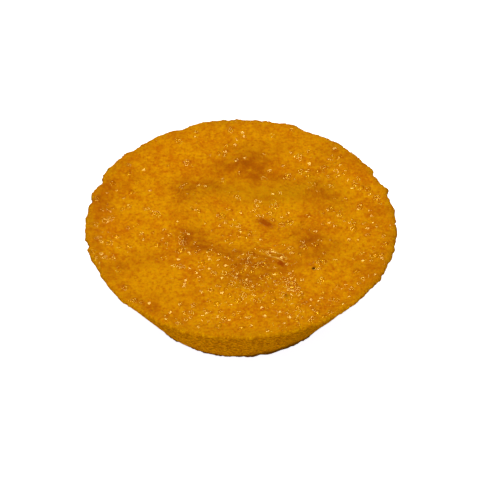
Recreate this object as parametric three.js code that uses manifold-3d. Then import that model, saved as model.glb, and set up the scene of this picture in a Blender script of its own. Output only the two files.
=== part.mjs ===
// A carrot custard tartlet: a small custard cake with no pastry, baked in a plain tapered tin and turned out.
// It is one solid. Sizes are in millimetres, +Z is up, and the side nearest the viewer faces -Y.
import * as THREE from "three";
import { SimplexNoise } from "three/addons/math/SimplexNoise.js";
import { mergeVertices } from "three/addons/utils/BufferGeometryUtils.js";
import Module from "manifold-3d";

const { clamp, degToRad, euclideanModulo, lerp, radToDeg, seededRandom, smoothstep } = THREE.MathUtils;

// The tin's form
const rimRadius = 37.7;
const height = 22.4;
const baseRadius = 23.6; // where the line of the wall meets the table
const cornerRadius = 1.6; // between the base and the wall
const lean = -0.3; // the foot sits this far off the middle of the rim, along X
const wallUnevenness = { depth: 0.16, spacing: 5, flatFoot: 3 };

// The ragged lip that the batter formed over the edge of the tin
const lip = { reach: 0.4, depth: 1.5, edge: 0.9 };
const lipSection = [
  { inFromRim: 0.04, downFromTop: 0.98 },
  { inFromRim: 0, downFromTop: 0.53 },
  { inFromRim: 0.32, downFromTop: 0.12 },
];
const crag = { depth: 0.26, spacing: 2.1 };
const wave = { depth: 0.12, spacing: 9 };
const raggedWall = 0.35; // the share of the lip's raggedness that the top of the wall takes
const raggedTop = 7; // how far in from the rim the top takes some of it

// Lobes and notches of the lip that show in its outline: azimuth from +X and width in degrees
const lipLobes = [
  { azimuth: 19, reach: 0.6, width: 1.6 },
  { azimuth: 27, reach: -0.35, width: 6 },
  { azimuth: 42, reach: 0.35, width: 4 },
  { azimuth: 62, reach: -0.65, width: 5 },
  { azimuth: 75, reach: 0.55, width: 6 },
  { azimuth: 112, reach: -0.6, width: 2.4 },
  { azimuth: 145, reach: 0.8, width: 7 },
  { azimuth: 157, reach: -0.6, width: 2.2 },
  { azimuth: 162, reach: 0.65, width: 2.2 },
  { azimuth: 169, reach: -0.4, width: 4 },
  { azimuth: 205, reach: -0.35, width: 9 },
  { azimuth: 250, reach: 0.3, width: 8 },
  { azimuth: 337, reach: 0.35, width: 6 },
];

// The top, which climbs a little at the tin and sank in the middle as it cooled
const climb = { height: 0.35, width: 5 };
const hollow = { x: 2.5, y: 5, radius: 13, softness: 6, depth: 1.25 };
const hollowOutline = { wander: 2.2, spacing: 11 };
const foldRidge = { radius: 17, width: 2.8, height: 0.55, patch: 8 }; // custard folded round the hollow
const swell = { height: 0.3, spacing: 13 };
const dimple = { height: 0.14, spacing: 6 };

// The largest blisters, where they sit on the top. The small ones follow by the rule below.
const largeBlisters = [
  { x: 27.6, y: 0.8, across: 2.3, isBurst: true },
  { x: 14.9, y: 19.5, across: 2.2, isBurst: true },
  { x: 20.9, y: 20.5, across: 2.2, isBurst: true },
  { x: 29.6, y: 12.9, across: 1.9, isBurst: false },
  { x: 19.6, y: -12.7, across: 2.6, isBurst: true },
  { x: 32.5, y: -10.4, across: 2.3, isBurst: false },
  { x: 18.4, y: -6.9, across: 2.2, isBurst: false },
  { x: -14, y: -4.1, across: 2.3, isBurst: false },
  { x: -20, y: -6.5, across: 2.2, isBurst: false },
  { x: -4.6, y: 4.4, across: 2.9, isBurst: true },
  { x: 2.8, y: -10, across: 2.6, isBurst: true },
  { x: -3.7, y: -16.4, across: 2.5, isBurst: true },
  { x: 12.4, y: -20.2, across: 2.9, isBurst: true },
  { x: 7.9, y: -25.4, across: 2.4, isBurst: false },
];
const smallBlisters = { count: 40, least: 1.3, most: 2.1, burstShare: 0.15, clearance: 0.5, fromRim: 1.9 };
const mostTries = 400; // to find a free place for one small blister
const blisterSquat = 0.62; // height over half width
const blisterSink = 0.12; // how far its middle lies under the surface, as a share of its half width
const burst = { opening: 0.78, lift: 0.42 }; // the broken hole in a blister, as shares of its half width

// How thickly the small blisters lie: round the front of the hollow, on the right and along the edge
const blisterPatches = [
  { x: 3, y: -13, halfX: 12, halfY: 9, share: 1 },
  { x: 22, y: 8, halfX: 9, halfY: 16, share: 0.45 },
];
const blistersAlongEdge = { share: 0.8, from: 6, to: 3 };
const blistersElsewhere = 0.07;

// Shreds of carrot that lie under the skin and show as ridges
const shreds = [
  { x: 5.7, y: 0.7, length: 4.4, across: 1.8, turn: -46 },
  { x: 8.7, y: -10.9, length: 7.2, across: 1.9, turn: -53 },
];
const shredStand = 0.3; // how far its middle line lies over the surface, as a share of its half width

// Facets
const segments = 128;
const cornerSteps = 3;
const wallSteps = 4;
const ringSpacing = { atRim: 1.5, atCentre: 2.6 };
const blisterSides = 6;
const blisterRings = 4;
const shredEndSteps = 2;
const shredSides = 8;

seededRandom(11);
const noise = new SimplexNoise({ random: () => seededRandom() });

// Smooth unevenness from -1 to 1. Each use has its own layer, so that no two follow each other.
function unevenness(x, y, spacing, layer = 0) {
  return noise.noise(x / spacing + 40 * layer, y / spacing);
}

function bell(distance, width) {
  return Math.exp(-((distance / width) ** 2));
}

// The profile from the middle of the base, out and up the wall, over the lip and in to the middle of the top.
// Each point says how much of the lip's raggedness it takes, and how much of the top's relief lifts it.
function tinProfile() {
  const wallTop = { r: rimRadius - lip.reach, z: height - lip.depth };
  const taper = Math.atan2(wallTop.r - baseRadius, wallTop.z);
  const cornerMiddle = baseRadius - cornerRadius / Math.tan((Math.PI / 2 + taper) / 2);
  const points = [{ r: 0, z: 0, ragged: 0, relief: 0 }];
  for (let i = 0; i <= cornerSteps; i++) {
    const turn = lerp(-Math.PI / 2, -taper, i / cornerSteps);
    const r = cornerMiddle + cornerRadius * Math.cos(turn);
    points.push({ r, z: cornerRadius * (1 + Math.sin(turn)), ragged: 0, relief: 0 });
  }
  const wallFoot = points[points.length - 1];
  for (let i = 1; i <= wallSteps; i++) {
    const up = i / wallSteps;
    const r = lerp(wallFoot.r, wallTop.r, up);
    points.push({ r, z: lerp(wallFoot.z, wallTop.z, up), ragged: raggedWall * up ** 4, relief: 0 });
  }
  for (const { inFromRim, downFromTop } of lipSection) {
    points.push({ r: rimRadius - inFromRim, z: height - downFromTop, ragged: 1, relief: 1 });
  }
  for (let r = rimRadius - lip.edge; r > ringSpacing.atCentre / 2; ) {
    points.push({ r, z: height, ragged: smoothstep(r, rimRadius - raggedTop, rimRadius), relief: 1 });
    r -= lerp(ringSpacing.atCentre, ringSpacing.atRim, r / rimRadius);
  }
  points.push({ r: 0, z: height, ragged: 0, relief: 1 });
  return points;
}

// How far the lip stands out of, or in from, a true circle in the direction of x, y
function lipRaggedness(x, y) {
  const azimuth = radToDeg(Math.atan2(y, x));
  const lobes = lipLobes.reduce((sum, lobe) => {
    const apart = euclideanModulo(azimuth - lobe.azimuth + 180, 360) - 180;
    return sum + lobe.reach * bell(apart, lobe.width);
  }, 0);
  const onRim = new THREE.Vector2(x, y).setLength(rimRadius);
  const crags = crag.depth * unevenness(onRim.x, onRim.y, crag.spacing);
  const waves = wave.depth * unevenness(onRim.x, onRim.y, wave.spacing);
  return lobes + crags + waves;
}

// The height of the top over the base, without its blisters
function topHeight(x, y) {
  const fromAxis = Math.hypot(x, y);
  const wander = hollowOutline.wander * unevenness(x, y, hollowOutline.spacing, 1);
  const fromHollow = Math.hypot(x - hollow.x, y - hollow.y) + wander;
  const climbed = climb.height * smoothstep(fromAxis, rimRadius - climb.width, rimRadius - lip.edge);
  const { radius, softness } = hollow;
  const outOfHollow = smoothstep(fromHollow, radius - softness, radius + softness);
  const patchy = clamp(0.6 + 0.6 * unevenness(x, y, foldRidge.patch, 2), 0, 1);
  const ridge = foldRidge.height * patchy * bell(fromHollow - foldRidge.radius, foldRidge.width);
  const broad = swell.height * unevenness(x, y, swell.spacing);
  const fine = dimple.height * unevenness(x, y, dimple.spacing, 3);
  return height - climb.height + climbed - hollow.depth * (1 - outOfHollow) + ridge + broad + fine;
}

// Turns the profile round the axis, and moves each point by the unevenness of its own stretch
function bakedBody() {
  const profile = tinProfile();
  const outline = profile.map((point) => new THREE.Vector2(point.r, point.z));
  const geometry = new THREE.LatheGeometry(outline, segments);
  geometry.rotateX(Math.PI / 2);
  const position = geometry.getAttribute("position");
  for (let i = 0; i < position.count; i++) {
    const { r, z, ragged, relief } = profile[i % profile.length];
    const outward = new THREE.Vector2(position.getX(i), position.getY(i)).setLength(r > 0 ? 1 : 0);
    const { depth, spacing, flatFoot } = wallUnevenness;
    const onWall = smoothstep(z, 0, flatFoot) * (1 - relief);
    const uneven = noise.noise3d((outward.x * r) / spacing, (outward.y * r) / spacing, z / spacing);
    const raggedness = ragged > 0 ? ragged * lipRaggedness(outward.x, outward.y) : 0;
    const moved = r + depth * onWall * uneven + raggedness;
    const x = outward.x * moved + lean * (1 - z / height);
    const y = outward.y * moved;
    position.setXYZ(i, x, y, z + relief * (topHeight(x, y) - height));
  }
  return geometry;
}

// A closed three.js geometry as a solid that can be joined and cut
function solidOf(wasm, geometry) {
  const bare = geometry.clone();
  bare.deleteAttribute("normal");
  bare.deleteAttribute("uv");
  const merged = mergeVertices(bare);
  const vertProperties = new Float32Array(merged.getAttribute("position").array);
  const triVerts = new Uint32Array(merged.index.array);
  return new wasm.Manifold(new wasm.Mesh({ numProp: 3, vertProperties, triVerts }));
}

function geometryOf(solid) {
  const mesh = solid.getMesh();
  const geometry = new THREE.BufferGeometry();
  geometry.setAttribute("position", new THREE.BufferAttribute(new Float32Array(mesh.vertProperties), 3));
  geometry.setIndex(new THREE.BufferAttribute(new Uint32Array(mesh.triVerts), 1));
  return geometry;
}

function blisterShare(x, y) {
  const patches = blisterPatches.reduce(
    (sum, patch) => sum + patch.share * bell(x - patch.x, patch.halfX) * bell(y - patch.y, patch.halfY),
    blistersElsewhere,
  );
  const { share, from, to } = blistersAlongEdge;
  return patches + share * smoothstep(Math.hypot(x, y), rimRadius - from, rimRadius - to);
}

// A free place for a blister, clear of those before it, or nothing where none is found
function freePlace(across, places) {
  for (let tries = 0; tries < mostTries; tries++) {
    const azimuth = 2 * Math.PI * seededRandom();
    const out = (rimRadius - smallBlisters.fromRim) * Math.sqrt(seededRandom());
    const x = out * Math.cos(azimuth);
    const y = out * Math.sin(azimuth);
    const isWanted = seededRandom() < blisterShare(x, y);
    const isClear = places.every((other) => {
      const apart = Math.hypot(x - other.x, y - other.y);
      return apart > (across + other.across) / 2 + smallBlisters.clearance;
    });
    if (isWanted && isClear) return { x, y };
  }
  return undefined;
}

// The large blisters, then the small ones from the largest down
function blisterPlaces() {
  const places = [...largeBlisters];
  for (let i = 0; i < smallBlisters.count; i++) {
    const across = lerp(smallBlisters.most, smallBlisters.least, i / (smallBlisters.count - 1));
    const place = freePlace(across, places);
    if (place) places.push({ ...place, across, isBurst: seededRandom() < smallBlisters.burstShare });
  }
  return places;
}

function squatBall(halfWidth, x, y, z) {
  const ball = new THREE.SphereGeometry(halfWidth, blisterSides, blisterRings);
  ball.rotateX(Math.PI / 2);
  ball.rotateZ(x + y); // so that neighbours don't stand alike
  ball.scale(1, 1, blisterSquat);
  ball.translate(x, y, z);
  return ball;
}

// A blister stands proud of the top. A burst one is broken open above, down to a shallow pit.
function addBlister(wasm, body, { x, y, across, isBurst }) {
  const halfWidth = across / 2;
  const z = topHeight(x, y) - blisterSink * halfWidth;
  const whole = body.add(solidOf(wasm, squatBall(halfWidth, x, y, z)));
  if (!isBurst) return whole;
  const hole = squatBall(halfWidth * burst.opening, x, y, z + burst.lift * halfWidth);
  return whole.subtract(solidOf(wasm, hole));
}

function addShred(wasm, body, { x, y, length, across, turn }) {
  const halfWidth = across / 2;
  const capsule = new THREE.CapsuleGeometry(halfWidth, length - across, shredEndSteps, shredSides);
  capsule.scale(1, 1, blisterSquat);
  capsule.rotateZ(degToRad(turn - 90));
  capsule.translate(x, y, topHeight(x, y) + (shredStand - blisterSquat) * halfWidth);
  return body.add(solidOf(wasm, capsule));
}

// The base lies at z = 0, and the outline is centred on the axis
function centred(geometry) {
  geometry.computeBoundingBox();
  const { min, max } = geometry.boundingBox;
  return geometry.translate(-(min.x + max.x) / 2, -(min.y + max.y) / 2, -min.z);
}

async function makeTartlet() {
  const wasm = await Module();
  wasm.setup();
  let solid = solidOf(wasm, bakedBody());
  for (const shred of shreds) solid = addShred(wasm, solid, shred);
  for (const blister of blisterPlaces()) solid = addBlister(wasm, solid, blister);
  const bakedCustard = new THREE.MeshStandardMaterial({
    name: "baked carrot custard",
    color: 0xd08204,
    roughness: 0.42,
    metalness: 0,
  });
  const mesh = new THREE.Mesh(centred(geometryOf(solid)), bakedCustard);
  mesh.name = "tartlet";
  return mesh;
}

const group = new THREE.Group();
group.add(await makeTartlet());

export default group;
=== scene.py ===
# Carrot custard tartlet: a small custard cake without pastry, turned out of a plain tapered tin.
import math
import random

import bpy
import numpy as np
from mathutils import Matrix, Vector


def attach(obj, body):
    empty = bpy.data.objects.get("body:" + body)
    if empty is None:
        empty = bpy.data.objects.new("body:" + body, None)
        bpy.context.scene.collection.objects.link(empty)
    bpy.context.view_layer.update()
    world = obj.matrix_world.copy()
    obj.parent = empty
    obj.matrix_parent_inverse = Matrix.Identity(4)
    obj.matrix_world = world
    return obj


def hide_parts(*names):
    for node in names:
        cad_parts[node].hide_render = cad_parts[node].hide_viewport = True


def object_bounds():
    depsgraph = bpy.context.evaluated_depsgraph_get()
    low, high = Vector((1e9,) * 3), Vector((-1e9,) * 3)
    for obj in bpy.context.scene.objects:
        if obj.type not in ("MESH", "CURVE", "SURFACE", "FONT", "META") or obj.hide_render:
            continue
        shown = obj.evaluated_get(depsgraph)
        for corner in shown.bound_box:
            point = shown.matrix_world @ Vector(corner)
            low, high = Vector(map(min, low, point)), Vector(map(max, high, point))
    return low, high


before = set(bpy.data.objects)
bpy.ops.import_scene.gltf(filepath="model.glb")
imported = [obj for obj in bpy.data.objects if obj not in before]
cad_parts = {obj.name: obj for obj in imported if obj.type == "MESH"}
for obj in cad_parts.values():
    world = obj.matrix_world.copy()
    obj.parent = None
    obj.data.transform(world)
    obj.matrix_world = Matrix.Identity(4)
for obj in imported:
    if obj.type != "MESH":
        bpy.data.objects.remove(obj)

mm = 0.001
cadLow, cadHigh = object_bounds()
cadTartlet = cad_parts["tartlet"]
cadPoints = np.array([vertex.co for vertex in cadTartlet.data.vertices]) / mm
cadOut, cadZ = np.hypot(cadPoints[:, 0], cadPoints[:, 1]), cadPoints[:, 2]
aboveSide, onTable = 18, 0.01  # heights that tell the points of the top and of the base from the rest

# The tin, read off the solid, in millimetres like all sizes below unless a note says otherwise
tin = {
    "rimRadius": (cadHigh.x - cadLow.x) / 2 / mm,
    "topZ": float(np.median(cadZ[cadZ > aboveSide])),
    "footRadius": float(cadOut[cadZ < onTable].max()),
}
print("tin", {name: round(value, 2) for name, value in tin.items()})


def linear(code):
    # sRGB hex to linear, with alpha 1
    channels = [int(code[i:i + 2], 16) / 255 for i in (1, 3, 5)]
    return [c / 12.92 if c <= 0.04045 else ((c + 0.055) / 1.055) ** 2.4 for c in channels] + [1]


def addNode(tree, kind, inputs=(), **settings):
    # inputs go by name, or by number in a list, and a node given as one stands for its first output
    node = tree.nodes.new(kind)
    for name, value in settings.items():
        setattr(node, name, value)
    for key, value in inputs.items() if isinstance(inputs, dict) else enumerate(inputs):
        if isinstance(value, bpy.types.Node):
            value = value.outputs[0]
        if isinstance(value, bpy.types.NodeSocket):
            tree.links.new(value, node.inputs[key])
        else:
            node.inputs[key].default_value = value
    return node


def newGeometryTree(name):
    tree = bpy.data.node_groups.new(name, "GeometryNodeTree")
    tree.interface.new_socket("Geometry", in_out="INPUT", socket_type="NodeSocketGeometry")
    tree.interface.new_socket("Geometry", in_out="OUTPUT", socket_type="NodeSocketGeometry")
    return tree, tree.nodes.new("NodeGroupInput")


def makeActive(piece):
    bpy.ops.object.select_all(action="DESELECT")
    piece.select_set(True)
    bpy.context.view_layer.objects.active = piece


def applyModifier(piece, name, kind, **settings):
    modifier = piece.modifiers.new(name, kind)
    for key, value in settings.items():
        setattr(modifier, key, value)
    makeActive(piece)
    bpy.ops.object.modifier_apply(modifier=modifier.name)


def readPoints(piece):
    points = np.zeros(len(piece.data.vertices) * 3)
    piece.data.vertices.foreach_get("co", points)
    normals = np.zeros(len(piece.data.vertices) * 3)
    piece.data.vertices.foreach_get("normal", normals)
    return points.reshape(-1, 3) / mm, normals.reshape(-1, 3)


def ramp(values, start, over):
    # 0 up to the start, then up to 1 over so much more
    return np.clip((values - start) / over, 0, 1)


def patches(x, y, rows):
    # soft round patches, added up: x, y, half width, half depth and strength
    return sum(much * np.exp(-((x - cx) / halfX) ** 2 - ((y - cy) / halfY) ** 2)
               for cx, cy, halfX, halfY, much in rows)


# The form: foot, wall and lip are one circle, extruded up and widened step by step
form = {
    "sides": 256,
    "cornerRadius": 1.4, "cornerSteps": 3,
    "lipSteps": [(-0.45, -1.6), (-0.05, -1.0), (0, -0.6), (-0.3, -0.15), (-0.9, 0.05)],  # out and up from the rim
    "voxel": 0.56,
    "freeFacing": (0.3, 0.4),  # the top lets go of the solid where it faces up, from here over so much more
    "heldRim": 1.0, "heldFade": 3,
    "softening": 0.5, "softenings": 2,
    "topDepth": 3,  # nothing that belongs to the top lies deeper below the rim
}


def addForm():
    bpy.ops.object.select_all(action="DESELECT")
    corner = form["cornerRadius"]
    lean = math.atan2(tin["rimRadius"] - tin["footRadius"], tin["topZ"])
    steps = []
    for i in range(1, form["cornerSteps"] + 1):
        turn = (math.pi / 2 - lean) * i / form["cornerSteps"]
        steps.append((tin["footRadius"] + corner * math.sin(turn), corner * (1 - math.cos(turn))))
    steps += [(tin["rimRadius"] + out, tin["topZ"] + up) for out, up in form["lipSteps"]]
    radius, z = tin["footRadius"], 0
    bpy.ops.mesh.primitive_circle_add(vertices=form["sides"], radius=radius * mm, fill_type="NGON")
    piece = bpy.context.object
    piece.name = "bakedTartlet"
    bpy.ops.object.mode_set(mode="EDIT")
    bpy.ops.mesh.select_all(action="SELECT")
    for newRadius, newZ in steps:
        widen = newRadius / radius
        bpy.ops.mesh.extrude_region_move(TRANSFORM_OT_translate={"value": (0, 0, (newZ - z) * mm)})
        bpy.ops.transform.resize(value=(widen, widen, 1), center_override=(0, 0, newZ * mm))
        radius, z = newRadius, newZ
    bpy.ops.mesh.select_all(action="SELECT")
    bpy.ops.mesh.normals_make_consistent(inside=False)
    bpy.ops.object.mode_set(mode="OBJECT")
    applyModifier(piece, "even faces", "REMESH", mode="VOXEL", voxel_size=form["voxel"] * mm)
    return piece


def followSolid(piece):
    # foot, wall and lip take the outline of the solid, and the top lets go of it a little way in
    points, normals = readPoints(piece)
    onTop = ramp(normals[:, 2], *form["freeFacing"])
    inside = ramp(tin["rimRadius"] - form["heldRim"] - np.hypot(points[:, 0], points[:, 1]), 0, form["heldFade"])
    group = piece.vertex_groups.new(name="held by the solid")
    for i, weight in enumerate(1 - onTop * inside):
        if weight > 0:
            group.add([i], float(weight), "REPLACE")
    applyModifier(piece, "outline of the solid", "SHRINKWRAP", target=cadTartlet, vertex_group=group.name)
    applyModifier(piece, "soften facets", "SMOOTH", factor=form["softening"], iterations=form["softenings"])
    piece.vertex_groups.clear()


# A noise keeps near 0.5, so a part of its range is stretched over all of a pattern's
stretch = {"soft": (0.2, 0.8), "plain": (0.25, 0.75), "firm": (0.3, 0.7), "hard": (0.35, 0.65)}
# The relief: a sunk middle inside a soft fold, swells and dimples, the crags of the lip and foot, and the wall's grain
relief = {
    "hollow": (2.5, 5.0), "hollowRadius": 13, "softness": 6, "depth": 1.1, "wander": 2.2, "wanderSpacing": 11,
    "foldRadius": 17, "foldWidth": 2.8, "foldHeight": 0.4, "foldLeast": 0.1, "foldPatch": 9,
    "swell": 0.35, "swellSpacing": 13, "dimple": 0.13, "dimpleSpacing": 3.2,
    "topFacing": (0.45, 0.9), "topInside": (1, 4),  # none at the first, in full at the second
    "cragDepth": 0.65, "cragSpacing": 1.7, "cragPatch": 6, "cragLeast": 0.3, "cragReach": 0.28,
    "cragDrop": 0.6, "cragBand": (0.3, 1.5), "cragInside": (3, 0.8),
    "front": (-32, -20), "frontLeast": 0.45,  # the lip is smoother towards the front
    "footCrag": 0.4, "footCragSpacing": 1.9, "footBand": (2.5, 0.5), "footInside": (2, 0.5),
    "wallGrain": 0.1, "wallGrainSpacing": 1.8, "wallFacing": (0.2, -0.1), "wallFrom": (0.3, 1.5),
}
# Teeth and nicks of the lip, finer than the solid's lobes: azimuth from the right, half width in degrees and reach
nicks = [
    (147, 4, 0.6), (70, 3, 0.6), (51, 2.5, 0.5), (33, 2.5, 0.4), (96, 7, 0.3), (19.5, 1.2, 0.6), (16, 1.2, -0.3),
    (9, 1.5, 0.4), (348, 2, 0.4), (156.3, 1.5, -0.7), (168, 1.6, -0.5), (135, 3, -0.35), (117, 3, -0.35),
    (190, 5, -0.3), (204, 4, -0.35), (111, 1.2, -0.3), (139, 2, 0.3),
]


def addNicks(piece):
    points, _ = readPoints(piece)
    azimuth = np.degrees(np.arctan2(points[:, 1], points[:, 0]))
    reach = sum(much * np.exp(-(((azimuth - at + 180) % 360 - 180) / half) ** 2) for at, half, much in nicks)
    piece.data.attributes.new("nick", "FLOAT", "POINT").data.foreach_set("value", reach.astype(np.float32))


def reliefTree():
    tree, start = newGeometryTree("relief of the tartlet")
    r = relief
    place = addNode(tree, "GeometryNodeInputPosition")
    inMm = addNode(tree, "ShaderNodeVectorMath", [place, (1 / mm,) * 3], operation="MULTIPLY")
    flat = addNode(tree, "ShaderNodeVectorMath", [inMm, (1, 1, 0)], operation="MULTIPLY")
    parts = addNode(tree, "ShaderNodeSeparateXYZ", [inMm])
    depthwise, height = parts.outputs["Y"], parts.outputs["Z"]
    normal = addNode(tree, "GeometryNodeInputNormal")
    facingUp = addNode(tree, "ShaderNodeSeparateXYZ", [normal]).outputs["Z"]
    fromAxis = addNode(tree, "ShaderNodeVectorMath", [flat], operation="LENGTH").outputs["Value"]

    # distance from the hollow's middle, made to wander
    toHollow = addNode(tree, "ShaderNodeVectorMath", [flat, (*r["hollow"], 0)], operation="DISTANCE")
    wander = addNode(tree, "ShaderNodeTexNoise", {"Vector": flat, "Scale": 1 / r["wanderSpacing"], "Detail": 1})
    wander = addNode(tree, "ShaderNodeMapRange", [wander, *stretch["plain"], -r["wander"], r["wander"]])
    toHollow = addNode(tree, "ShaderNodeMath", [toHollow.outputs["Value"], wander], operation="ADD")
    innerEdge, outerEdge = r["hollowRadius"] - r["softness"], r["hollowRadius"] + r["softness"]
    rise = addNode(tree, "ShaderNodeMapRange", [toHollow, innerEdge, outerEdge, -r["depth"], 0],
                   interpolation_type="SMOOTHSTEP")

    # the fold round it is a bell curve across, and comes in patches
    toFold = addNode(tree, "ShaderNodeMath", [toHollow, r["foldRadius"]], operation="SUBTRACT")
    toFold = addNode(tree, "ShaderNodeMath", [toFold, r["foldWidth"]], operation="DIVIDE")
    toFold = addNode(tree, "ShaderNodeMath", [toFold, 2], operation="POWER")
    toFold = addNode(tree, "ShaderNodeMath", [math.exp(-1), toFold], operation="POWER")
    patch = addNode(tree, "ShaderNodeTexNoise", {"Vector": flat, "Scale": 1 / r["foldPatch"], "Detail": 1})
    patch = addNode(tree, "ShaderNodeMapRange",
                    [patch, *stretch["hard"], r["foldLeast"] * r["foldHeight"], r["foldHeight"]])
    fold = addNode(tree, "ShaderNodeMath", [toFold, patch], operation="MULTIPLY")
    rise = addNode(tree, "ShaderNodeMath", [rise, fold], operation="ADD")

    for spacing, depth, detail in ((r["swellSpacing"], r["swell"], 0), (r["dimpleSpacing"], r["dimple"], 2)):
        wave = addNode(tree, "ShaderNodeTexNoise", {"Vector": flat, "Scale": 1 / spacing, "Detail": detail})
        wave = addNode(tree, "ShaderNodeMapRange", [wave, *stretch["soft"], -depth, depth])
        rise = addNode(tree, "ShaderNodeMath", [rise, wave], operation="ADD")
    onTop = addNode(tree, "ShaderNodeMapRange", [facingUp, *r["topFacing"]], interpolation_type="SMOOTHSTEP")
    inFromRim = addNode(tree, "ShaderNodeMapRange", [fromAxis, *(tin["rimRadius"] - way for way in r["topInside"])],
                        interpolation_type="SMOOTHSTEP")
    for factor in (onTop, inFromRim, mm):
        rise = addNode(tree, "ShaderNodeMath", [rise, factor], operation="MULTIPLY")
    upward = addNode(tree, "ShaderNodeCombineXYZ", {"Z": rise})

    # the crags of the lip move a point straight out from the axis
    crag = addNode(tree, "ShaderNodeTexNoise",
                   {"Vector": inMm, "Scale": 1 / r["cragSpacing"], "Detail": 3, "Roughness": 0.6})
    crag = addNode(tree, "ShaderNodeMapRange", [crag, *stretch["plain"], -r["cragDepth"], r["cragDepth"]])
    cragPatch = addNode(tree, "ShaderNodeTexNoise", {"Vector": inMm, "Scale": 1 / r["cragPatch"], "Detail": 0})
    cragPatch = addNode(tree, "ShaderNodeMapRange", [cragPatch, *stretch["hard"], r["cragLeast"], 1])
    softFront = addNode(tree, "ShaderNodeMapRange", [depthwise, *r["front"], r["frontLeast"], 1])
    toLip = addNode(tree, "ShaderNodeMath", [height, tin["topZ"] - r["cragDrop"]], operation="SUBTRACT")
    toLip = addNode(tree, "ShaderNodeMath", [toLip], operation="ABSOLUTE")
    toLip = addNode(tree, "ShaderNodeMapRange", [toLip, *r["cragBand"], 1, 0], interpolation_type="SMOOTHSTEP")
    nearRim = addNode(tree, "ShaderNodeMapRange", [fromAxis, *(tin["rimRadius"] - way for way in r["cragInside"])],
                      interpolation_type="SMOOTHSTEP")
    nick = addNode(tree, "GeometryNodeInputNamedAttribute", {"Name": "nick"}, data_type="FLOAT")
    for factor in (cragPatch, softFront):
        crag = addNode(tree, "ShaderNodeMath", [crag, factor], operation="MULTIPLY")
    for more in (nick, r["cragReach"]):
        crag = addNode(tree, "ShaderNodeMath", [crag, more], operation="ADD")
    for factor in (toLip, nearRim):
        crag = addNode(tree, "ShaderNodeMath", [crag, factor], operation="MULTIPLY")

    # so do the ragged edge of the foot and the grain of the wall
    footCrag = addNode(tree, "ShaderNodeTexNoise", {"Vector": inMm, "Scale": 1 / r["footCragSpacing"], "Detail": 2})
    footCrag = addNode(tree, "ShaderNodeMapRange", [footCrag, *stretch["firm"], -r["footCrag"], r["footCrag"]])
    nearFoot = addNode(tree, "ShaderNodeMapRange", [height, *r["footBand"]], interpolation_type="SMOOTHSTEP")
    notUnder = addNode(tree, "ShaderNodeMapRange", [fromAxis, *(tin["footRadius"] - way for way in r["footInside"])])
    for factor in (nearFoot, notUnder):
        footCrag = addNode(tree, "ShaderNodeMath", [footCrag, factor], operation="MULTIPLY")
    crag = addNode(tree, "ShaderNodeMath", [crag, footCrag], operation="ADD")
    grain = addNode(tree, "ShaderNodeTexNoise", {"Vector": inMm, "Scale": 1 / r["wallGrainSpacing"], "Detail": 3})
    grain = addNode(tree, "ShaderNodeMapRange", [grain, *stretch["plain"], -r["wallGrain"], r["wallGrain"]])
    onWall = addNode(tree, "ShaderNodeMapRange", [facingUp, *r["wallFacing"]], interpolation_type="SMOOTHSTEP")
    overFoot = addNode(tree, "ShaderNodeMapRange", [height, *r["wallFrom"]], interpolation_type="SMOOTHSTEP")
    onWall = addNode(tree, "ShaderNodeMath", [onWall, overFoot], operation="MULTIPLY")
    outBy = addNode(tree, "ShaderNodeMath", [grain, onWall, crag], operation="MULTIPLY_ADD")
    outBy = addNode(tree, "ShaderNodeMath", [outBy, mm], operation="MULTIPLY")
    outward = addNode(tree, "ShaderNodeVectorMath", [flat], operation="NORMALIZE")
    outward = addNode(tree, "ShaderNodeVectorMath", {0: outward, "Scale": outBy}, operation="SCALE")
    offset = addNode(tree, "ShaderNodeVectorMath", [upward, outward], operation="ADD")
    moved = addNode(tree, "GeometryNodeSetPosition", {"Geometry": start, "Offset": offset})
    addNode(tree, "NodeGroupOutput", [moved])
    return tree


# Blisters that can be told apart: x, y and width
domes = [
    (32.6, -10.5, 1.7), (-14, -4, 1.5), (-20, -6.4, 1.4), (-2.5, -23.8, 1.4), (18.4, -6.9, 1.5), (29.8, 13.2, 1.5),
    (-2.4, 6.7, 1.3), (-9.2, -12.9, 1.4), (0.2, -15.6, 1.3), (7.9, -24.8, 1.5), (14.6, -24.8, 1.2),
    (18.6, 14.4, 1.3), (-3.3, 28.5, 1.3), (-5.3, 25.7, 1.1), (0.4, -34.4, 1.4), (6.7, -17.3, 1.4),
]
craters = [
    (27.6, 0.75, 1.7), (20.9, 20.5, 1.6), (14.9, 19.2, 1.6), (16.8, 19.5, 1.3), (19.7, -12.6, 2.0),
    (-4.6, 4.5, 2.2), (-2.0, 1.1, 1.2), (2.6, -9.8, 2.0), (12.5, -20.1, 2.2), (11.2, -18.6, 1.4),
    (13.9, -21.4, 1.4), (-3.7, -16.3, 1.8), (4.3, -25.9, 1.7), (3.8, 9.5, 1.1), (5.0, 9.2, 1.0), (-35, 8.9, 1.5),
]
# Shreds of carrot under the skin: x, y, length, width, turn in degrees and how dark they baked. The second is pale
shreds = [
    (6.2, 2.2, 4.6, 2.0, -38, 0.85), (8.9, -10.2, 7.4, 2.2, -40, 0.1), (9.9, -13.1, 2.2, 1.3, -40, 1.0),
]
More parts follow.
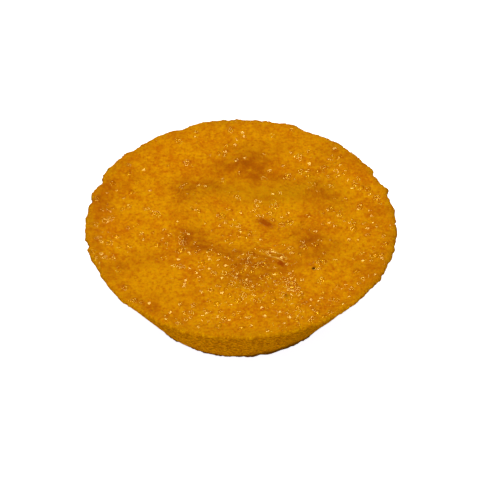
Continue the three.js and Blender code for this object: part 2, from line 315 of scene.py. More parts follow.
# Patches where the small ones crowd: x, y, half width, half depth and how many to a square centimetre
crowds = [
    (3, -14, 12, 7, 36), (6, -24, 13, 6, 27), (-18, -6, 5, 4, 24), (2, 1, 9, 6, 17), (18, 4, 6, 6, 14),
    (21, 20, 6, 5, 16), (17, -31, 9, 4, 24), (-12, -31, 10, 4, 21), (-34, -8, 4, 10, 20), (32, -6, 5, 12, 17),
    (-2, 27, 4, 3, 10), (-32, 8, 4, 8, 10),
]
scatter = {
    "seed": 4, "elsewhere": 4, "most": 46,  # to a square centimetre
    "widths": (0.7, 1.9), "gap": 0.1, "inside": 1.0, "craterShare": 0.75, "shredHeight": 0.5,
    "lengthShare": (0.9, 1.2), "widthShare": (0.75, 1), "heightShare": (0.7, 1.1),  # of a blister's width
}


def crowding(x, y):
    # blisters to a square centimetre, for numbers or arrays
    return scatter["elsewhere"] + patches(x, y, crowds)


def alongShreds():
    # three circles in a row, half as wide as the shred is long, cover each one
    circles = []
    for x, y, length, _, turn, _ in shreds:
        angle = math.radians(turn)
        for side in (-1, 0, 1):
            step = side * length / 6
            circles.append((x + step * math.cos(angle), y + step * math.sin(angle), length / 2))
    return circles


def scatterBlisters():
    pick = random.Random(scatter["seed"])
    keptFree = [(x, y, width, False) for x, y, width in alongShreds()]
    placed = [(x, y, width, False) for x, y, width in domes] + [(x, y, width, True) for x, y, width in craters]
    reach = tin["rimRadius"] - scatter["inside"]
    least, most = scatter["widths"]
    squareCm = math.pi * reach ** 2 / 100
    for _ in range(int(scatter["most"] * squareCm)):
        azimuth, out = pick.uniform(0, 2 * math.pi), reach * math.sqrt(pick.random())
        x, y = out * math.cos(azimuth), out * math.sin(azimuth)
        wanted = pick.random() * scatter["most"] < crowding(x, y)
        width = least + (most - least) * pick.random() ** 2
        burst = pick.random() < scatter["craterShare"]
        if wanted and all(math.hypot(x - a, y - b) > (width + w) / 2 + scatter["gap"]
                          for a, b, w, _ in placed + keptFree):
            placed.append((x, y, width, burst))
    return placed


def addSeeds(name, rows):
    # one point for each stamp, with its place, its size as width, depth and height, and its turn
    mesh = bpy.data.meshes.new(name)
    mesh.from_pydata([(x * mm, y * mm, 0) for x, y, *_ in rows], [], [])
    sizes = [side * mm for row in rows for side in row[2:5]]
    mesh.attributes.new("size", "FLOAT_VECTOR", "POINT").data.foreach_set("vector", sizes)
    mesh.attributes.new("turn", "FLOAT", "POINT").data.foreach_set("value", [row[5] for row in rows])
    seeds = bpy.data.objects.new(name, mesh)
    bpy.context.scene.collection.objects.link(seeds)
    return seeds


# Half sections of unit width: out from the middle, height, and how much darker it is painted, for browning and, at a
# blister's foot and in a crater's pit, painted shade
sections = {
    "dome": [(0, 0.2, 0.1), (0.14, 0.19, 0), (0.27, 0.15, 0), (0.37, 0.09, 0.5), (0.45, 0.03, 1), (0.5, 0, 0.7),
             (0.58, 0, 0)],
    "crater": [(0, -0.05, 0.8), (0.12, -0.03, 0.7), (0.22, 0.04, 0.3), (0.31, 0.1, 0), (0.38, 0.1, 0),
               (0.45, 0.04, 0.6), (0.52, 0, 0.8), (0.6, 0, 0)],
    "shred": [(0, 0.08, 1), (0.26, 0.1, 1), (0.35, 0.16, 0.5), (0.41, 0.14, 0.2), (0.5, 0, 0)],
}
stamping = {
    "spinSteps": 24, "merge": 0.001,  # the second in widths of a stamp
    "wobble": 0.4, "wobbleSpacing": 1.6,
    "above": 10, "rayLength": 20, "facing": (0.5, 0.8),
    "margin": 0.28, "cuts": 2,
}


def addStamp(name):
    # the half section is spun about its middle into a round stamp
    section = sections[name]
    mesh = bpy.data.meshes.new(name + "Stamp")
    mesh.from_pydata([(out, 0, up) for out, up, _ in section], [(i, i + 1) for i in range(len(section) - 1)], [])
    stamp = bpy.data.objects.new(name + "Stamp", mesh)
    bpy.context.scene.collection.objects.link(stamp)
    makeActive(stamp)
    bpy.ops.object.mode_set(mode="EDIT")
    bpy.ops.mesh.select_all(action="SELECT")
    bpy.ops.mesh.spin(steps=stamping["spinSteps"], angle=2 * math.pi, center=(0, 0, 0), axis=(0, 0, 1))
    bpy.ops.mesh.select_all(action="SELECT")
    bpy.ops.mesh.remove_doubles(threshold=stamping["merge"])
    bpy.ops.mesh.normals_make_consistent(inside=False)
    bpy.ops.object.mode_set(mode="OBJECT")
    outs, _, browns = zip(*section)
    baked = [float(np.interp(vertex.co.xy.length, outs, browns)) for vertex in mesh.vertices]
    mesh.attributes.new("baked", "FLOAT", "POINT").data.foreach_set("value", baked)
    return stamp


def stampTree(name, seeds, stamp):
    # each seed carries a copy of the stamp, and the skin is lifted to what lies straight over it
    tree, start = newGeometryTree(name)
    seedPoints = addNode(tree, "GeometryNodeObjectInfo", {"Object": seeds}).outputs["Geometry"]
    stampMesh = addNode(tree, "GeometryNodeObjectInfo", {"Object": stamp}).outputs["Geometry"]
    size = addNode(tree, "GeometryNodeInputNamedAttribute", {"Name": "size"}, data_type="FLOAT_VECTOR")
    turn = addNode(tree, "GeometryNodeInputNamedAttribute", {"Name": "turn"}, data_type="FLOAT")
    turned = addNode(tree, "ShaderNodeCombineXYZ", {"Z": turn})
    stamps = addNode(tree, "GeometryNodeInstanceOnPoints",
                     {"Points": seedPoints, "Instance": stampMesh, "Rotation": turned, "Scale": size})
    stamps = addNode(tree, "GeometryNodeRealizeInstances", [stamps])

    # the ray falls from above a place that wobbles a little, which makes the stamps uneven
    place = addNode(tree, "GeometryNodeInputPosition")
    wobble = addNode(tree, "ShaderNodeTexNoise",
                     {"Vector": place, "Scale": 1 / (stamping["wobbleSpacing"] * mm), "Detail": 1})
    wobble = addNode(tree, "ShaderNodeVectorMath", [wobble.outputs["Color"], (0.5,) * 3], operation="SUBTRACT")
    wobble = addNode(tree, "ShaderNodeVectorMath", {0: wobble, "Scale": stamping["wobble"] * mm}, operation="SCALE")
    seen = addNode(tree, "ShaderNodeVectorMath", [place, wobble], operation="ADD")
    seen = addNode(tree, "ShaderNodeVectorMath", [seen, (1, 1, 0)], operation="MULTIPLY")
    above = addNode(tree, "ShaderNodeVectorMath", [seen, (0, 0, stamping["above"] * mm)], operation="ADD")
    baked = addNode(tree, "GeometryNodeInputNamedAttribute", {"Name": "baked"}, data_type="FLOAT")
    hit = addNode(tree, "GeometryNodeRaycast", {
        "Target Geometry": stamps, "Attribute": baked, "Source Position": above,
        "Ray Direction": (0, 0, -1), "Ray Length": stamping["rayLength"] * mm,
    }, data_type="FLOAT")
    normal = addNode(tree, "GeometryNodeInputNormal")
    facingUp = addNode(tree, "ShaderNodeSeparateXYZ", [normal]).outputs["Z"]
    onTop = addNode(tree, "ShaderNodeMapRange", [facingUp, *stamping["facing"]])
    struck = addNode(tree, "ShaderNodeMath", [hit.outputs["Is Hit"], onTop], operation="MULTIPLY")
    lift = addNode(tree, "ShaderNodeSeparateXYZ", [hit.outputs["Hit Position"]])
    lift = addNode(tree, "ShaderNodeMath", [lift.outputs["Z"], struck], operation="MULTIPLY")
    dark = addNode(tree, "ShaderNodeMath", [hit.outputs["Attribute"], struck], operation="MULTIPLY")
    kept = start
    for attribute, value in ((name, struck), (name + "Baked", dark)):
        kept = addNode(tree, "GeometryNodeStoreNamedAttribute", {"Geometry": kept, "Name": attribute, "Value": value},
                       data_type="FLOAT", domain="POINT")
    upward = addNode(tree, "ShaderNodeCombineXYZ", {"Z": lift})
    moved = addNode(tree, "GeometryNodeSetPosition", {"Geometry": kept, "Offset": upward})
    addNode(tree, "NodeGroupOutput", [moved])
    return tree


def refineNear(piece, places):
    # the faces under and round each blister, shred and speck are split finer
    centres = np.zeros(len(piece.data.polygons) * 3)
    piece.data.polygons.foreach_get("center", centres)
    centres = centres.reshape(-1, 3) / mm
    near = np.zeros(len(centres), bool)
    for x, y, width in places:
        near |= np.hypot(centres[:, 0] - x, centres[:, 1] - y) < width / 2 + stamping["margin"]
    near &= centres[:, 2] > tin["topZ"] - form["topDepth"]
    makeActive(piece)
    bpy.context.tool_settings.mesh_select_mode = (False, False, True)
    bpy.ops.object.mode_set(mode="EDIT")
    bpy.ops.mesh.select_all(action="DESELECT")
    bpy.ops.object.mode_set(mode="OBJECT")
    piece.data.polygons.foreach_set("select", near)
    bpy.ops.object.mode_set(mode="EDIT")
    bpy.ops.mesh.subdivide(number_cuts=stamping["cuts"])
    bpy.ops.object.mode_set(mode="OBJECT")


# Brown blotches: x, y, half width, half depth and strength
blotches = [
    (2.2, 22, 6, 3.2, 0.95), (-4.4, 19.6, 4.5, 2.8, 0.5), (4.6, 17.4, 4.5, 2.6, 0.6), (-7, 14.3, 7, 2.4, 0.45),
    (-13.3, 12.0, 3.2, 4, 0.5), (-14.5, 3, 3, 6, 0.2), (-11.5, -3.9, 3.8, 3.2, 0.8), (-10, -7.4, 4, 2.4, 0.6),
    (-2.5, -8.8, 4.5, 1.8, 0.65), (3, -12, 7, 2.5, 0.5), (16.3, -4.5, 3.6, 3, 0.85), (18.7, 11.7, 4, 4, 0.45),
    (17.5, 4, 3, 4, 0.1), (11.5, 17, 4, 2.4, 0.4), (4, -18, 10, 3.5, 0.45), (-34, 8, 3, 5, 0.35),
    (-30, 14, 4, 4, 0.3), (-35, -5, 2.5, 7, 0.25), (30, -14, 5, 5, 0.3), (24, 27, 5, 3, 0.4), (20, 21, 4, 4, 0.3),
    (-22, -25, 6, 4, 0.15), (8, -31, 5, 3, 0.1), (33, 4, 3, 8, 0.2), (10, 28, 6, 3, 0.3), (1.5, 27.5, 5, 2.5, 0.4),
    (-26, 18, 4, 3, 0.2), (17, -10, 5, 3, 0.55), (22, -6.5, 5, 3, 0.4), (-29, -14, 5, 3.5, 0.5),
    (-15, -26, 14, 7, 0.12), (10, -27, 12, 6, 0.08), (3, -13, 9, 4, 0.22), (-21, -11, 5, 3, 0.35),
    (0, -17, 4, 3, 0.3), (11, -14, 4, 2.5, 0.35), (22, 10, 6, 3, 0.25), (5, 10.5, 5, 2, 0.25),
]
# Olive tint inside the back of the fold, and fine wrinkles along it, laid out like the blotches
olives = [(-5, 14, 9, 2.5, 0.8), (14, 13, 8, 4, 0.9), (6, 11, 8, 3, 0.6), (10, 2, 5, 5, 0.3), (24, 8, 4, 6, 0.4)]
wrinkles = [
    (-9, 13.5, 7, 3, 0.9), (-15.5, 11, 3, 3, 0.7), (11, 14, 6, 3, 0.9), (19, 12, 5, 4, 0.5), (-14, -1, 4, 4, 0.4),
]
# Dark bits: x, y, width and strength
specks = [(17.7, -14.9, 0.6, 3), (11.2, -23.8, 1.2, 0.5), (-11.6, 5.5, 0.5, 0.7), (-7.7, -8.8, 0.7, 0.6)]
skin = {
    "topFacing": (0.2, 0.4),  # the skin of the top begins where it faces up, from here over so much more
    "edgeBrown": 0.2, "edgeInside": 2, "edgeWidth": 2,
    "lipDrop": 0.45, "lipWidth": 0.7, "lipInside": 2.2, "lipFade": 1.4, "lipUnder": 0.5,
    "footShade": 1.5, "footHeight": 3.1,  # the foot's painted shade and browning are full up to half this height and gone at one and a half
    "footRise": 1.9, "riseFrom": 2, "riseOver": 14, "riseLeast": -0.5,  # it climbs higher towards the right
}


def paintSkin(piece):
    points, normals = readPoints(piece)
    x, y, z = points.T
    inFromRim = np.hypot(x, y) - tin["rimRadius"]
    onTop = ramp(normals[:, 2], *skin["topFacing"]) * (z > tin["topZ"] - form["topDepth"])
    dark = 0
    for cx, cy, length, width, turn, much in shreds:
        c, s = math.cos(math.radians(turn)), math.sin(math.radians(turn))
        along, across = (x - cx) * c + (y - cy) * s, (y - cy) * c - (x - cx) * s
        dark = dark + much * np.exp(-(2 * along / length) ** 4 - (2 * across / width) ** 4)
    edge = skin["edgeBrown"] * np.exp(-((inFromRim + skin["edgeInside"]) / skin["edgeWidth"]) ** 2)
    lip = np.exp(-((z - tin["topZ"] + skin["lipDrop"]) / skin["lipWidth"]) ** 2)
    lip = lip * ramp(inFromRim, -skin["lipInside"], skin["lipFade"])
    rise = np.clip((x - skin["riseFrom"]) / skin["riseOver"], skin["riseLeast"], 1)
    footHeight = skin["footHeight"] + skin["footRise"] * rise
    bits = [(cx, cy, wide / 2, wide / 2, much) for cx, cy, wide, much in specks]
    coats = {
        "browned": (patches(x, y, blotches) + edge) * onTop,
        "shredDark": np.minimum(dark, 1) * onTop,
        "olive": patches(x, y, olives) * onTop,
        "wrinkled": patches(x, y, wrinkles) * onTop,
        "crowded": np.clip(crowding(x, y) / scatter["most"], 0, 1) * onTop,
        "speck": np.minimum(patches(x, y, bits), 1) * onTop,
        "onTop": onTop,
        "lip": lip * (skin["lipUnder"] + (1 - skin["lipUnder"]) * onTop),
        "foot": np.clip(skin["footShade"] - z / footHeight, 0, 1),
    }
    for name, values in coats.items():
        piece.data.attributes.new(name, "FLOAT", "POINT").data.foreach_set("value", values.astype(np.float32))


def makeTartlet():
    piece = addForm()
    print("form", len(piece.data.polygons), "faces")
    followSolid(piece)
    addNicks(piece)
    applyModifier(piece, "relief", "NODES", node_group=reliefTree())
    piece.data.attributes.remove(piece.data.attributes["nick"])
    print("relief made")
    places = scatterBlisters()
    print("blisters", len(places))
    refineNear(piece, [place[:3] for place in places] + alongShreds() + [speck[:3] for speck in specks])
    print("refined", len(piece.data.polygons), "faces")
    pick = random.Random(scatter["seed"] + 1)
    rows = {"dome": [], "crater": [], "shred": []}
    for x, y, width, burst in places:
        shape = [width * pick.uniform(*scatter[share]) for share in ("lengthShare", "widthShare", "heightShare")]
        rows["crater" if burst else "dome"].append((x, y, *shape, pick.uniform(0, math.pi)))
    for x, y, length, width, turn, _ in shreds:
        rows["shred"].append((x, y, length, width, scatter["shredHeight"], math.radians(turn)))
    for name, stampRows in rows.items():
        seeds, stamp = addSeeds(name + "Seeds", stampRows), addStamp(name)
        applyModifier(piece, name, "NODES", node_group=stampTree(name, seeds, stamp))
        bpy.data.objects.remove(seeds)
        bpy.data.objects.remove(stamp)
    print("stamped", {name: len(stampRows) for name, stampRows in rows.items()})
    paintSkin(piece)
    makeActive(piece)
    bpy.ops.object.shade_smooth()
    print("tartlet", sum(len(polygon.vertices) - 2 for polygon in piece.data.polygons), "triangles")
    return piece


# Baked egg custard coloured by grated carrot: soft, moist and slightly see-through, so light spreads a little way
# below the skin. The top is dry to the touch with wet, shiny blisters, and the side is matt where it lay on the tin.
# A pattern's four numbers say from where to where its noise is used, and how weak and how strong it shows.
custard = {
    "golden": "#d58e00", "orange": "#c67200", "freckle": "#b45600", "fleck": "#eaa600", "rust": "#a14e00",
    "dark": "#7c3200", "olive": "#b87e00", "shred": "#943600", "paintedHighlightEdge": "#f0b850", "lip": "#a66a00",
    "crumbAndGlint": "#dca000", "side": "#f09c00", "sideDark": "#aa5c00", "foot": "#5e2600", "speck": "#3c0200",
    "glint": "#ffe000",

    "broadSpacing": 9, "mottleSpacing": 2.4, "mottleShare": (0.9, 1.2),
    "freckleSpacing": 1.1, "freckleStretch": (1, 0.75, 1), "freckles": (0.52, 0.7, 0, 0.55),
    "fleckSpacing": 0.7, "paleFlecks": (0.52, 0.7, 0, 0.5), "darkFlecks": (0.46, 0.3, 0, 0.8),
    "oliveMost": 0.6,
    "wrinkleSpacing": 1.1, "wrinkleDepth": 0.08, "wrinkleWander": 5, "wrinkleRipple": 3,
    "wrinkleCrest": (0.1, 1), "wrinkleBreaks": (0.42, 0.58), "creaseShadeMost": 0.5,
    "blotchRagged": (0.3, 0.7, 0.35, 1.3), "blotch": (0, 0.8, 0, 0.95), "blotchDark": (0.8, 1.5, 0, 0.6),
    "domeBaked": 0.55, "craterBaked": 0.6, "shredBaked": 0.15, "shredDark": 0.95,
    "edgeAcross": 0.34, "edgeEnds": (0.34, 0.42),  # in widths and in lengths of the pale shred, from its middle
    "edgeWidth": 0.26, "paintedHighlightMost": 0.75,

    "grainSpacing": 0.45, "grainDepth": 0.03,
    "pitSpacing": 0.7, "pitStretch": (1, 1, 0.35), "pitDepth": 0.24, "pitLight": (0.6, 0.42),
    "lipBrownAndShade": 0.85, "lipCrumbsAndGlints": (0.5, 0.62, 0, 1), "lipPits": 0.3, "footRagged": (0.35, 0.6, 0.8, 1.5),

    "curlSpacing": 1.7, "curlWidth": 0.08, "curlPart": 2.1, "curlPieces": (0.15, 0.4), "curlHeight": 0.09,
    "curlCrowding": (0.1, 0.6, 0, 0.6), "curlWet": 1.2,
    "ringSpacing": 2.2, "ringRadii": (0.4, 0.85), "ringWidth": 0.28, "ringWobble": 1.6, "ringWobbleSpacing": 1.9,
    "ringCrowding": (0.05, 0.7, 0.03, 0.38), "ringGap": 1.3, "ringOpen": (0.38, 0.5), "ringFaintest": 0.45,

    "filmEdge": (0.35, 0.65), "film": 0.05, "wetRoughness": 0.16, "topRoughness": 0.9, "sideRoughness": 1,
}


def custardMaterial():
    material = bpy.data.materials.new("baked carrot custard")
    material.use_nodes = True
    tree = material.node_tree
    tree.nodes.clear()
    c = custard
    place = addNode(tree, "ShaderNodeTexCoord").outputs["Object"]
    inMm = addNode(tree, "ShaderNodeVectorMath", [place, (1 / mm,) * 3], operation="MULTIPLY")
    flat = addNode(tree, "ShaderNodeVectorMath", [inMm, (1, 1, 0)], operation="MULTIPLY")
    coats = {name: addNode(tree, "ShaderNodeAttribute", attribute_name=name).outputs["Fac"] for name in (
        "browned", "olive", "wrinkled", "crowded", "speck", "onTop", "lip", "foot", "dome", "crater", "shred",
        "domeBaked", "craterBaked", "shredBaked", "shredDark")}

    # golden to orange mottling, with the coats of the top over it: how much of each, and its colour
    broad = addNode(tree, "ShaderNodeTexNoise", {"Vector": inMm, "Scale": 1 / c["broadSpacing"], "Detail": 2})
    mottle = addNode(tree, "ShaderNodeTexNoise",
                     {"Vector": inMm, "Scale": 1 / c["mottleSpacing"], "Detail": 4, "Roughness": 0.65})
    share = addNode(tree, "ShaderNodeMath", [broad, mottle], operation="ADD")
    share = addNode(tree, "ShaderNodeMapRange", [share, *c["mottleShare"]])
    colour = addNode(tree, "ShaderNodeMix", {"Factor": share, "A": linear(c["golden"]), "B": linear(c["orange"])},
                     data_type="RGBA")
    topCoats = []

    # freckles, and fine flecks, pale and dark
    freckle = addNode(tree, "ShaderNodeVectorMath", [inMm, c["freckleStretch"]], operation="MULTIPLY")
    freckle = addNode(tree, "ShaderNodeTexNoise", {"Vector": freckle, "Scale": 1 / c["freckleSpacing"], "Detail": 2})
    fleck = addNode(tree, "ShaderNodeTexNoise",
                    {"Vector": inMm, "Scale": 1 / c["fleckSpacing"], "Detail": 2, "Roughness": 0.6})
    for noise, pattern, code in ((freckle, "freckles", "freckle"), (fleck, "paleFlecks", "fleck"),
                                 (fleck, "darkFlecks", "freckle")):
        topCoats.append((addNode(tree, "ShaderNodeMapRange", [noise, *c[pattern]]), code))
    # olive tint inside the back of the fold
    olive = addNode(tree, "ShaderNodeMath", [coats["olive"], c["oliveMost"]], operation="MULTIPLY")
    topCoats.append((olive, "olive"))
    # wrinkles run round the hollow, a little wavy
    around = addNode(tree, "ShaderNodeVectorMath", [flat, (*relief["hollow"], 0)], operation="DISTANCE")
    around = addNode(tree, "ShaderNodeMath", [broad, c["wrinkleWander"], around.outputs["Value"]],
                     operation="MULTIPLY_ADD")
    around = addNode(tree, "ShaderNodeMath", [mottle, c["wrinkleRipple"], around], operation="MULTIPLY_ADD")
    crease = addNode(tree, "ShaderNodeMath", [around, 2 * math.pi / c["wrinkleSpacing"]], operation="MULTIPLY")
    crease = addNode(tree, "ShaderNodeMath", [crease], operation="SINE")
    crease = addNode(tree, "ShaderNodeMapRange", [crease, *c["wrinkleCrest"]], interpolation_type="SMOOTHSTEP")
    broken = addNode(tree, "ShaderNodeMapRange", [mottle, *c["wrinkleBreaks"]])
    for factor in (coats["wrinkled"], broken):
        crease = addNode(tree, "ShaderNodeMath", [crease, factor], operation="MULTIPLY")
    # the creases of the wrinkles are painted darker: painted shade
    topCoats.append((addNode(tree, "ShaderNodeMath", [crease, c["creaseShadeMost"]], operation="MULTIPLY"), "rust"))
    # brown blotches, broken up, then the darker foot of each blister, browning and painted shade, and the shreds
    ragged = addNode(tree, "ShaderNodeMapRange", [mottle, *c["blotchRagged"]])
    brown = addNode(tree, "ShaderNodeMath", [coats["browned"], ragged], operation="MULTIPLY")
    for pattern, code in (("blotch", "rust"), ("blotchDark", "dark")):
        topCoats.append((addNode(tree, "ShaderNodeMapRange", [brown, *c[pattern]]), code))
    # the blisters' feet and the craters' pits are painted darker: browning and painted shade
    for name, code in (("domeBaked", "rust"), ("craterBaked", "rust"), ("shredBaked", "rust"), ("shredDark", "shred")):
        topCoats.append((addNode(tree, "ShaderNodeMath", [coats[name], c[name]], operation="MULTIPLY"), code))

    # the pale shred lifts the skin along both of its edges, and the same wobble makes them and the rings uneven
    wobble = addNode(tree, "ShaderNodeTexNoise", {"Vector": inMm, "Scale": 1 / c["ringWobbleSpacing"], "Detail": 0})
    wobble = addNode(tree, "ShaderNodeVectorMath", {0: wobble.outputs["Color"], "Scale": c["ringWobble"]},
                     operation="SCALE")
    wobbled = addNode(tree, "ShaderNodeVectorMath", [flat, wobble], operation="ADD")
    x, y, length, width, turn, _ = shreds[1]
    beside = addNode(tree, "ShaderNodeMapping", {
        "Vector": wobbled, "Location": (x + c["ringWobble"] / 2, y + c["ringWobble"] / 2, 0),
        "Rotation": (0, 0, math.radians(turn)),
    }, vector_type="TEXTURE")
    beside = addNode(tree, "ShaderNodeVectorMath", [beside], operation="ABSOLUTE")
    beside = addNode(tree, "ShaderNodeSeparateXYZ", [beside])
    ridge = addNode(tree, "ShaderNodeMath", [beside.outputs["Y"], width * c["edgeAcross"]], operation="SUBTRACT")
    ridge = addNode(tree, "ShaderNodeMath", [ridge], operation="ABSOLUTE")
    ridge = addNode(tree, "ShaderNodeMapRange", [ridge, 0, c["edgeWidth"], 1, 0], interpolation_type="SMOOTHSTEP")
    within = addNode(tree, "ShaderNodeMapRange", [beside.outputs["X"], *(length * end for end in c["edgeEnds"]), 1, 0])
    ridge = addNode(tree, "ShaderNodeMath", [ridge, within], operation="MULTIPLY")
    # the ridges along the pale shred's edges are painted pale: a painted highlight
    topCoats.append((addNode(tree, "ShaderNodeMath", [ridge, c["paintedHighlightMost"]], operation="MULTIPLY"), "paintedHighlightEdge"))
    for factor, code in topCoats:
        colour = addNode(tree, "ShaderNodeMix", {"Factor": factor, "A": colour.outputs[2], "B": linear(c[code])},
                         data_type="RGBA")

    # the side, the lip and the foot
    pits = addNode(tree, "ShaderNodeVectorMath", [inMm, c["pitStretch"]], operation="MULTIPLY")
    pits = addNode(tree, "ShaderNodeTexNoise",
                   {"Vector": pits, "Scale": 1 / c["pitSpacing"], "Detail": 3, "Roughness": 0.7})
    share = addNode(tree, "ShaderNodeMapRange", [pits, *c["pitLight"]])
    # the side's colours are painted lighter than the top's: painted light for the wall, which faces down and gets
    # little lamp light
    side = addNode(tree, "ShaderNodeMix", {"Factor": share, "A": linear(c["side"]), "B": linear(c["sideDark"])},
                   data_type="RGBA")
    colour = addNode(tree, "ShaderNodeMix",
                     {"Factor": coats["onTop"], "A": side.outputs[2], "B": colour.outputs[2]}, data_type="RGBA")
    # the lip is painted darker: partly its browner edge, partly painted shade
    lip = addNode(tree, "ShaderNodeMath", [coats["lip"], c["lipBrownAndShade"]], operation="MULTIPLY")
    # pale crumbs along the lip, partly a painted highlight
    crumbsAndGlints = addNode(tree, "ShaderNodeMapRange", [pits, *c["lipCrumbsAndGlints"]])
    crumbsAndGlints = addNode(tree, "ShaderNodeMath", [coats["lip"], crumbsAndGlints], operation="MULTIPLY")
    # the foot is painted darker towards the bottom: partly browning, partly painted shade
    foot = addNode(tree, "ShaderNodeMapRange", [mottle, *c["footRagged"]])
    foot = addNode(tree, "ShaderNodeMath", [foot, coats["foot"]], operation="MULTIPLY", use_clamp=True)
    for factor, code in ((lip, "lip"), (crumbsAndGlints, "crumbAndGlint"), (foot, "foot"), (coats["speck"], "speck")):
        colour = addNode(tree, "ShaderNodeMix", {"Factor": factor, "A": colour.outputs[2], "B": linear(c[code])},
                         data_type="RGBA")

    # curls: thin wavy ridges between the blisters, in short pieces
    smooth = addNode(tree, "ShaderNodeMath", [coats["dome"], coats["crater"]], operation="ADD")
    smooth = addNode(tree, "ShaderNodeMath", [smooth, coats["shred"]], operation="ADD", use_clamp=True)
    rough = addNode(tree, "ShaderNodeMath", [1, smooth], operation="SUBTRACT")
    curl = addNode(tree, "ShaderNodeTexNoise", {"Vector": inMm, "Scale": 1 / c["curlSpacing"], "Detail": 0})
    curl = addNode(tree, "ShaderNodeMath", [curl, 0.5], operation="SUBTRACT")
    curl = addNode(tree, "ShaderNodeMath", [curl], operation="ABSOLUTE")
    curl = addNode(tree, "ShaderNodeMapRange", [curl, 0, c["curlWidth"], 1, 0], interpolation_type="SMOOTHSTEP")
    part = addNode(tree, "ShaderNodeTexVoronoi", {"Vector": inMm, "Scale": 1 / c["curlPart"]}, feature="SMOOTH_F1")
    part = addNode(tree, "ShaderNodeMapRange", [part.outputs["Distance"], *c["curlPieces"], 1, 0],
                   interpolation_type="SMOOTHSTEP")
    among = addNode(tree, "ShaderNodeMapRange", [coats["crowded"], *c["curlCrowding"]])
    for factor in (part, among, rough):
        curl = addNode(tree, "ShaderNodeMath", [curl, factor], operation="MULTIPLY")

    # rings: one in some of the cells, uneven and open at one side
    cell = addNode(tree, "ShaderNodeTexVoronoi",
                   {"Vector": wobbled, "Scale": 1 / c["ringSpacing"], "Randomness": 0.85}, voronoi_dimensions="2D")
    chance = addNode(tree, "ShaderNodeSeparateColor", [cell.outputs["Color"]])
    ringRadius = addNode(tree, "ShaderNodeMapRange", [chance.outputs[1], 0, 1, *c["ringRadii"]])
    ring = addNode(tree, "ShaderNodeMath", [cell.outputs["Distance"], c["ringSpacing"]], operation="MULTIPLY")
    ring = addNode(tree, "ShaderNodeMath", [ring, ringRadius], operation="SUBTRACT")
    ring = addNode(tree, "ShaderNodeMath", [ring], operation="ABSOLUTE")
    ring = addNode(tree, "ShaderNodeMapRange", [ring, 0, c["ringWidth"], 1, 0], interpolation_type="SMOOTHSTEP")
    wanted = addNode(tree, "ShaderNodeMapRange", [coats["crowded"], *c["ringCrowding"]])
    wanted = addNode(tree, "ShaderNodeMath", [wanted, chance.outputs[0]], operation="GREATER_THAN")
    openSide = addNode(tree, "ShaderNodeTexNoise", {"Vector": inMm, "Scale": 1 / c["ringGap"], "Detail": 0})
    openSide = addNode(tree, "ShaderNodeMapRange", [openSide, *c["ringOpen"]])
    faint = addNode(tree, "ShaderNodeMapRange", [chance.outputs[2], 0, 1, c["ringFaintest"], 1])
    for factor in (wanted, openSide, rough, faint):
        ring = addNode(tree, "ShaderNodeMath", [ring, factor], operation="MULTIPLY")
    for more in (ring, ridge):
        curl = addNode(tree, "ShaderNodeMath", [curl, more], operation="MAXIMUM")

    # wet film on the blisters, curls and pale edges with a crisp border, dry between them
    wet = addNode(tree, "ShaderNodeMath", [curl, c["curlWet"], smooth], operation="MULTIPLY_ADD")
    wet = addNode(tree, "ShaderNodeMath", [wet, coats["shredDark"]], operation="SUBTRACT")
    wet = addNode(tree, "ShaderNodeMath", [wet, coats["speck"]], operation="SUBTRACT", use_clamp=True)
    wet = addNode(tree, "ShaderNodeMath", [wet, coats["onTop"]], operation="MULTIPLY")
    wet = addNode(tree, "ShaderNodeMapRange", [wet, *c["filmEdge"]])
    film = addNode(tree, "ShaderNodeMath", [wet, c["film"]], operation="MULTIPLY")
    dry = addNode(tree, "ShaderNodeMapRange", [coats["onTop"], 0, 1, c["sideRoughness"], c["topRoughness"]])
    roughness = addNode(tree, "ShaderNodeMix", {"Factor": wet, "A": dry, "B": c["wetRoughness"]}, data_type="FLOAT")

    # the grain of the side is coarser and deeper than that of the top
    grain = addNode(tree, "ShaderNodeTexNoise",
                    {"Vector": inMm, "Scale": 1 / c["grainSpacing"], "Detail": 3, "Roughness": 0.7})
    grainDepth = addNode(tree, "ShaderNodeMath", [rough, wet], operation="SUBTRACT", use_clamp=True)
    grainDepth = addNode(tree, "ShaderNodeMath", [grainDepth, c["grainDepth"]], operation="MULTIPLY")
    top = addNode(tree, "ShaderNodeMath", [curl, c["curlHeight"]], operation="MULTIPLY")
    top = addNode(tree, "ShaderNodeMath", [grain, grainDepth, top], operation="MULTIPLY_ADD")
    top = addNode(tree, "ShaderNodeMath", [crease, -c["wrinkleDepth"], top], operation="MULTIPLY_ADD")
    pitDepth = addNode(tree, "ShaderNodeMapRange",
                       [coats["lip"], 0, 1, c["pitDepth"], c["lipPits"] * c["pitDepth"]])
    pitted = addNode(tree, "ShaderNodeMath", [pits, pitDepth], operation="MULTIPLY")
    height = addNode(tree, "ShaderNodeMix", {"Factor": coats["onTop"], "A": pitted, "B": top}, data_type="FLOAT")
    bump = addNode(tree, "ShaderNodeBump", {"Height": height, "Distance": mm, "Strength": 1})
    shader = addNode(tree, "ShaderNodeBsdfPrincipled", {
        "Base Color": colour.outputs[2], "Roughness": roughness, "IOR": 1.5, "Specular IOR Level": 0.6,
        "Specular Tint": linear(c["glint"]), "Coat Weight": film, "Coat Roughness": 0.12, "Coat IOR": 1.5,
        "Subsurface Weight": 0.2, "Subsurface Radius": (1, 0.4, 0.05), "Subsurface Scale": 1.2 * mm,
        "Normal": bump, "Coat Normal": bump,
    })
    addNode(tree, "ShaderNodeOutputMaterial", [shader])
    return material


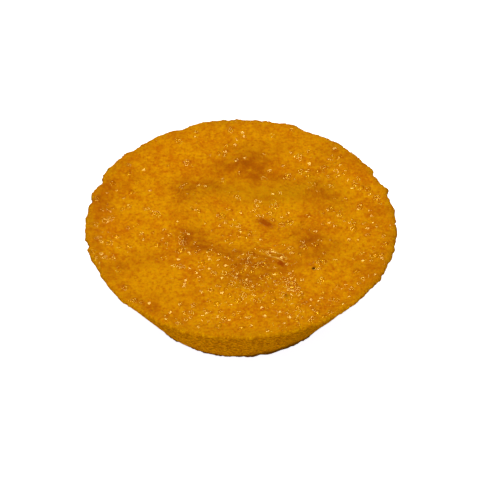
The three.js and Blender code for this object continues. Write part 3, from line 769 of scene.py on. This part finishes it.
# Camera, lights and floor, in metres, degrees and watts
studio = {
    "distance": 0.9375, "elevation": 44.82, "aimZ": 0.0173, "lens": 287.6, "sensor": 36, "clipStart": 0.01,
    "world": 0.25, "worldColour": "#ffe800",
    "floorRadius": 1.5, "floorSides": 96, "paper": "#fafafa", "floorGlow": 0.92, "floorGlowColour": "#eff3ff",
}
lamps = [  # azimuth from the right, elevation, distance, size and power
    {"name": "overhead", "azimuth": -90, "elevation": 86, "distance": 0.62, "size": 0.16, "power": 1.48},
    {"name": "back", "azimuth": 93, "elevation": 48.5, "distance": 0.6, "size": 0.16, "power": 0.75},
    {"name": "backLeft", "azimuth": 140, "elevation": 62, "distance": 0.6, "size": 0.1, "power": 0.4},
    {"name": "backRight", "azimuth": 35, "elevation": 62, "distance": 0.6, "size": 0.1, "power": 0.4},
    {"name": "frontFill", "azimuth": -106, "elevation": 9, "distance": 0.8, "size": 0.26, "power": 3.3},
]


def fromAngles(azimuth, elevation, distance):
    a, e = math.radians(azimuth), math.radians(elevation)
    return Vector((math.cos(a) * math.cos(e), math.sin(a) * math.cos(e), math.sin(e))) * distance


def addCamera(aim):
    toCamera = fromAngles(-90, studio["elevation"], studio["distance"])
    bpy.ops.object.camera_add(location=aim + toCamera, rotation=toCamera.to_track_quat("Z", "Y").to_euler())
    camera = bpy.context.object
    camera.data.lens = studio["lens"]
    camera.data.sensor_width = studio["sensor"]
    camera.data.clip_start = studio["clipStart"]
    bpy.context.scene.camera = camera


def addLights(aim):
    for row in lamps:
        toLamp = fromAngles(row["azimuth"], row["elevation"], row["distance"])
        bpy.ops.object.light_add(type="AREA", location=aim + toLamp,
                                 rotation=toLamp.to_track_quat("Z", "Y").to_euler())
        lamp = bpy.context.object
        lamp.name = row["name"]
        lamp.data.shape = "DISK"
        lamp.data.size = row["size"]
        lamp.data.energy = row["power"]
    world = bpy.data.worlds.new("soft room")
    bpy.context.scene.world = world
    world.use_nodes = True
    background = world.node_tree.nodes["Background"]
    background.inputs["Color"].default_value = linear(studio["worldColour"])
    background.inputs["Strength"].default_value = studio["world"]
    bpy.context.scene.view_settings.view_transform = "Standard"


def addFloor():
    # white paper, lit from below, that sheds no light on the cake
    bpy.ops.mesh.primitive_circle_add(vertices=studio["floorSides"], radius=studio["floorRadius"], fill_type="NGON")
    floor = bpy.context.object
    floor.name = "floor"
    paper = bpy.data.materials.new("white paper")
    paper.use_nodes = True
    for name, value in {
        "Base Color": linear(studio["paper"]), "Roughness": 0.9, "Specular IOR Level": 0,
        "Emission Color": linear(studio["floorGlowColour"]), "Emission Strength": studio["floorGlow"],
    }.items():
        paper.node_tree.nodes["Principled BSDF"].inputs[name].default_value = value
    floor.data.materials.append(paper)
    floor.visible_glossy = floor.visible_diffuse = False


bpy.ops.object.select_all(action="DESELECT")
aimPoint = Vector((0, 0, studio["aimZ"]))
addCamera(aimPoint)
addLights(aimPoint)
addFloor()
print("studio set up")

tartlet = makeTartlet()
tartlet.data.materials.append(custardMaterial())
print("custard mixed")
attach(tartlet, "root")
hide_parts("tartlet")
